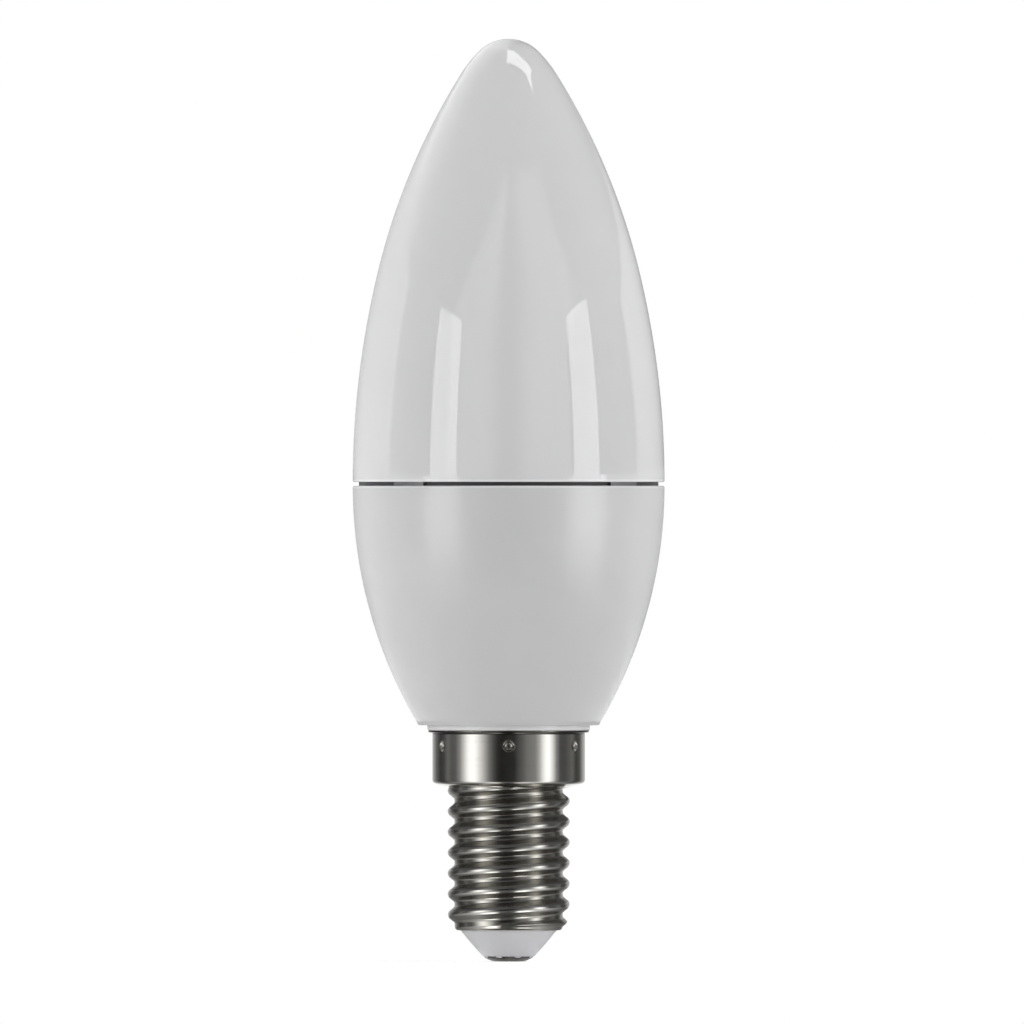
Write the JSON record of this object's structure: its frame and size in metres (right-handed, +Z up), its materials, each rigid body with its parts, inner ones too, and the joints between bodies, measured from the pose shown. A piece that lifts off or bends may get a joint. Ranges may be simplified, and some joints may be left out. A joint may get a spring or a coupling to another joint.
{
  "type": "candle bulb",
  "caption": "Candle-shaped LED lamp with an opal diffuser, a white moulded housing, and a nickel-plated small screw cap with a fluted centre contact.",
  "frame": {"origin": "middle of the centre contact's flat face, on the lamp's axis", "axes": "+Z up along the lamp's axis, from the centre contact to the diffuser's tip; -Y is the side that the picture shows"},
  "size_m": [0.035, 0.035, 0.1035],
  "materials": {
    "opal": "glossy opal, lets light through but can't be seen through",
    "plate_metal": "stamped sheet, in shadow in the joint",
    "housing_white": "fine satin moulding",
    "nickel": "bright nickel plating on rolled sheet",
    "insulator_white": "white moulded insulator",
    "contact_metal": "stamped nickel-plated head"
  },
  "bodies": {
    "root": {"diffuser": "opal", "carrier_plate": "plate_metal", "housing": "housing_white", "screw_shell": "nickel", "insulator": "insulator_white", "centre_contact": "contact_metal"}
  },
  "joints": []
}
